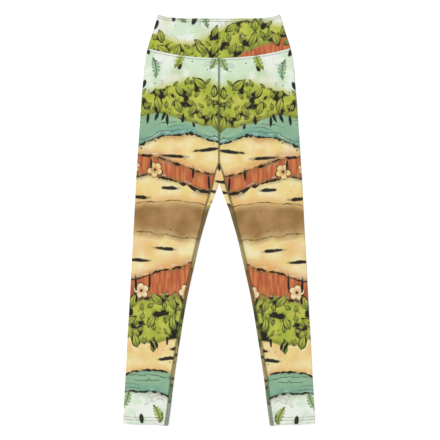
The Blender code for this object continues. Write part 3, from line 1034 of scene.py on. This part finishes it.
    def seeds(self):
        """Dark seeds on the pale cloth."""
        at = self.scatter(47, 54, 77.7, 0.75)
        chosen = self.on_pale(at, 12) * at.chances[0].over(0.31)
        along, across = at.upright(1, 1.2)
        size = at.chances[2] * 0.35 + 0.75
        oval = (along / (size * 11)).power(2) + (across / (size * 5.2)).power(2)
        self.paint("haze", oval.ramp(1.9, 1) * chosen * 0.6)
        self.ink(oval.ramp(1.12, 0.88) * chosen)

    def fronds(self):
        """Ferny sprigs on the pale cloth."""
        at = self.scatter(71, 66, 51.3, 0.6)
        chosen = self.on_pale(at, 18) * at.chances[0].over(0.26)
        along, across = at.upright(1, 1.1)
        bent = across + (along * along) * 0.008
        barbs = abs((along * (math.pi / 8) + abs(bent) * -0.25).sin()).power(0.7)
        edge = (along / 25).power(2).rest() * 10 * (barbs * 0.75 + 0.25) - abs(bent)
        self.paint(self.blend("sage", "lime", at.chances[2]), edge.ramp(-0.6, 0.6) * chosen * 0.95)
        self.paint("olive", edge.ramp(-0.3, 0.3) * edge.ramp(3, 0.5) * chosen * 0.85)
        self.ink((abs(bent) - 0.8).ramp(0.4, -0.4) * edge.ramp(-0.5, 0) * chosen)

    def brush_marks(self, at, here, way, length, width):
        """Brushed ink marks, ragged at the ends."""
        chosen = here * at.chances[0].over(0.51)
        along, across = way
        size = at.chances[2] * 0.8 + 0.5
        mark = (along / (size * length)).power(2) + (across / width).power(2)
        mark = mark + (self.sketch - 0.5) * 2
        self.paint("moss", mark.ramp(1.9, 0.8) * chosen * 0.5)
        self.ink((mark * 1.3).ramp(1.2, 0.9) * chosen)

    def dashes(self):
        """Brush marks along the sand and up the clay."""
        at = self.scatter(76, 24, 15.1, 0.8)
        way = at.turned((at.chances[1] - 0.5) * 0.3)
        sand = ((LOW_SAND, LOW_LEAVES), (KNEE_SAND, BROWN), (THIGH_SAND, HIGH_CLAY))
        sand = self.between(at, -6, *sand, (HIGH_SAND, HIGH_WAVE))
        self.brush_marks(at, sand, way, 25, 4.2)
        at = self.scatter(34, 40, 23.9, 0.7)
        clay = self.between(at, -8, (LOW_CLAY, KNEE_SAND))
        clay = clay.most(self.between(at, -6, (HIGH_CLAY, HIGH_SAND)))
        self.brush_marks(at, clay, at.upright(1, 0.25), 17, 2.8)

    def reeds(self):
        """Dark strokes at the leafy edges."""
        at = self.scatter(12, 27, 91.7, 0.85)
        here = self.between(at, 10, (LOW_LEAVES, LOW_LEAVES), (HIGH_LEAVES, HIGH_LEAVES))
        along, across = at.upright(1, 1.1)
        reed = (along / 14).power(2).rest() * 3.6 - abs(across)
        self.ink(reed.ramp(-0.4, 0.4) * here * at.chances[0].over(0.31))

    def finish(self, relief, rough, depth, strength, values):
        """The material, with the canvas as its colour and a relief of a depth as bump."""
        bump = self.tree.nodes.new("ShaderNodeBump")
        feed(bump, {"Strength": strength, "Distance": depth, "Height": relief})
        shader = self.tree.nodes["Principled BSDF"]
        feed(shader, {**values, "Base Color": self.canvas, "Roughness": rough})
        feed(shader, {"Normal": Field(bump.outputs["Normal"])})
        return self.material


WALE = 0.82  # width and height of one knitted stitch, in mm
COURSE = 0.62
KNIT_DEPTH = 0.12 * MM
PLY = 0.5 * MM  # from one band of the thread to the next
PLY_DEPTH = 0.06 * MM


def knit_height(s, h):
    """Relief of a fine jersey: upright ribs of small v-shaped stitches."""
    rib = abs((s * (math.pi / WALE)).sin())
    leg = abs((s * (math.pi / WALE)).cos())
    stitch = ((h + leg * 0.35) * (TAU / COURSE)).sin()
    return rib * 0.65 + stitch * rib * 0.3


def printed_knit(name):
    """Matte stretch knit with the design, with painted shade in seams and at needle rows and a
    painted highlight on rolled edges.
    """
    knit = Print(name)
    relief = knit_height(knit.s, knit.h) + knit.noise(2.2, 53, 3) * 0.5
    knit.design()
    valley, needle, roll = knit.attribute("sewn")
    # Painted highlight on rolled edges, partly the pale base showing through; painted shade in
    # seam valleys and at needle rows.
    knit.paint("white", roll * 0.5)
    knit.paint("moss", valley.ramp(0.12, 0.7) * SEAM_SHADE)
    knit.paint("moss", needle * NEEDLE_SHADE)
    knit.paint("white", (relief * 0.5 + 0.3).ramp(0.0, 0.25).rest() * 0.06)
    rough = knit.noise(14, 37, 2) * 0.14 + relief * 0.05 + 0.72
    sheen = {"Sheen Weight": 0.12, "Sheen Roughness": 0.5, "Specular IOR Level": 0.25}
    return knit.finish(relief, rough, KNIT_DEPTH, 0.5, sheen)


def plain_knit(name):
    """The unprinted inside of the cloth."""
    knit = Print(name)
    relief = knit_height(knit.h * 0.9, knit.s)
    shade = knit.noise(20, 3, 3).ramp(0.4, 0.8) * 0.4
    knit.canvas = knit.blend((0.8, 0.8, 0.76, 1), (0.62, 0.62, 0.58, 1), shade)
    return knit.finish(relief, relief * 0.06 + 0.84, KNIT_DEPTH, 0.5, {"Sheen Weight": 0.12})


def sewing_thread(name):
    """Grey polyester thread, its plies as fine slanting bands with painted shade in the grooves
    between them.
    """
    thread = Print(name)
    where = thread.tree.nodes.new("ShaderNodeTexCoord")
    x, y, z = Field(where.outputs["Object"]).parts()
    plies = ((x + y + z) * (TAU / PLY)).sin()
    light = (0.13, 0.155, 0.12, 1)
    dark = (*[0.6 * c for c in light[:3]], 1)
    # painted shade in the grooves between the plies
    thread.canvas = thread.blend(light, dark, plies.ramp(0.2, -1))
    return thread.finish(plies, plies * 0.06 + 0.5, PLY_DEPTH, 0.4, {})


# ---- studio
FLOOR_HALF = 4.0
FLOOR_DROP = 0.2 * MM
CAMERA_HEIGHT = 12.0
CAMERA_X = 2.2 * MM
VIEW_WIDTH = 1.0168  # what the square view spans at the surface
SENSOR = 36.0
FAR_CLIP = 100.0
SOFTBOXES = (  # name, place, size and power
    ("top", (-0.4, 0.3, 6.0), 2.2, 277),
    ("key", (-3.4, 2.7, 4.2), 2.8, 80),
)


def studio():
    """A pale floor, soft light from above and the camera straight over the garment."""
    scene = bpy.context.scene
    corners = ((-1, -1), (1, -1), (1, 1), (-1, 1))
    points = [(x * FLOOR_HALF, y * FLOOR_HALF, -FLOOR_DROP) for x, y in corners]
    material = bpy.data.materials.new("floor_paper")
    material.use_nodes = True
    paper = {"Base Color": (0.98, 0.98, 0.98, 1), "Roughness": 0.95, "Specular IOR Level": 0.1}
    feed(material.node_tree.nodes["Principled BSDF"], paper)
    floor = put(make_mesh("floor", points, [(0, 1, 2, 3)], material))

    world = bpy.data.worlds.new("studio")
    scene.world = world
    world.use_nodes = True
    feed(world.node_tree.nodes["Background"], {"Color": (1, 1, 1, 1), "Strength": 0.22})
    for name, at, size, power in SOFTBOXES:
        light = bpy.data.lights.new(name, "AREA")
        light.shape = "DISK"
        light.size = size
        light.energy = power
        lamp = put(light)
        lamp.location = at
        lamp.rotation_euler = (-Vector(at)).to_track_quat("-Z", "Y").to_euler()

    lens = bpy.data.cameras.new("camera")
    lens.sensor_width = SENSOR
    lens.lens = SENSOR * CAMERA_HEIGHT / VIEW_WIDTH
    lens.clip_end = FAR_CLIP
    camera = put(lens)
    camera.location = (CAMERA_X, 0, CAMERA_HEIGHT)
    scene.camera = camera
    scene.view_settings.view_transform = "Standard"
    return floor


# ---- the garment
def nearest(values, value):
    return int(np.argmin(np.abs(values - value)))


def leg_threads(name, grid, side, material):
    """The needle rows of a leg, and the thread deep in its seams, which also stands in for their
    shade.
    """
    rows, corner = leg_rows()
    wrap = grid.shape[1] - WRAP_COLUMNS
    front = slice(0, wrap)
    needles = [(at, slice(None)) for at in HEM_NEEDLES] + [(LEG_TOP - WAIST_NEEDLE, front)]
    stitches = []
    for at, columns in needles:
        stitches += stitch_row(*path_along(grid, nearest(rows, at), columns, side))

    # The left leg carries the thread of the centre seams.
    both, back = (
        len(rows) if side > 0 else int(np.sum(rows < point))
        for point in (GUSSET_FRONT, GUSSET_BACK)
    )
    half = SEAM_GAP / 2
    seams = (
        (slice(1, both), 0, (-half, 0, 0)),
        (slice(corner, back), wrap - 1, (-half, 0, 0)),
        (len(rows) - 1, front, (0, half, 0)),
        (corner - 1, slice(wrap, None), (0, END_GAP / 2, 0)),
    )
    tubes = []
    # thread deep in the seams, also standing in for the shade in their gaps
    for row, column, shift in seams:
        tubes.append(seam_thread_and_shade(*path_along(grid, row, column, side, shift, SEAM_THREAD_DEPTH)))
    return [
        make_thread(f"{name}_stitches", stitches, material),
        make_thread(f"{name}_seam_thread_and_shade", tubes, material),
    ]


def build():
    floor = studio()
    printed = printed_knit("leg_printed_knit")
    slots = {"leg": printed}
    for slot in ("waistband", "gusset"):
        slots[slot] = printed.copy()
        slots[slot].name = f"{slot}_printed_knit"
    inside = plain_knit("knit_inside")
    grey_thread = sewing_thread("grey_thread")

    pieces = {}
    threads = {"gusset": []}

    def cloth(name, grid, cells, s, side=1):
        outside = slots[name.split("_")[0]]
        pieces[name] = make_cloth(name, grid, cells, s, side, outside, inside)

    for name, side, seed in (("leg_left", 1, 3.1), ("leg_right", -1, 9.4)):
        grid, cells, s = leg_grid()
        lay(grid, s, side, seed, True)
        cloth(name, grid, cells, s, side)
        threads[name] = leg_threads(name, grid, side, grey_thread)
    for name in ("waistband_front", "waistband_back"):
        grid, cells, s = band_grid(name == "waistband_front")
        lay(grid, s, 1, 5.7, False)
        cloth(name, grid, cells, s)
        heights = grid[:, grid.shape[1] // 2, 1]
        row = nearest(heights[-1] - heights, TOP_NEEDLE)
        stitches = stitch_row(*path_along(grid, row, slice(None), 1))
        threads[name] = [make_thread(f"{name}_stitches", stitches, grey_thread)]
    cloth("gusset", *gusset_grid())

    for name, (flat, area, *_) in PIECES.items():
        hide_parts(name)
        for part in (pieces[name], *threads[name]):
            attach(part, "root")


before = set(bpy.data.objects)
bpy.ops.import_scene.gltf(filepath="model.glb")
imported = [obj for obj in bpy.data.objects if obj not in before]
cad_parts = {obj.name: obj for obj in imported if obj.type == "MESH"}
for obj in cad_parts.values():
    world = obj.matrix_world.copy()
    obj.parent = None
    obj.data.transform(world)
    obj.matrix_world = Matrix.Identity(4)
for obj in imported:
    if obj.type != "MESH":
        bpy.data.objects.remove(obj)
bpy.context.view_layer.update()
build()
bpy.context.view_layer.update()
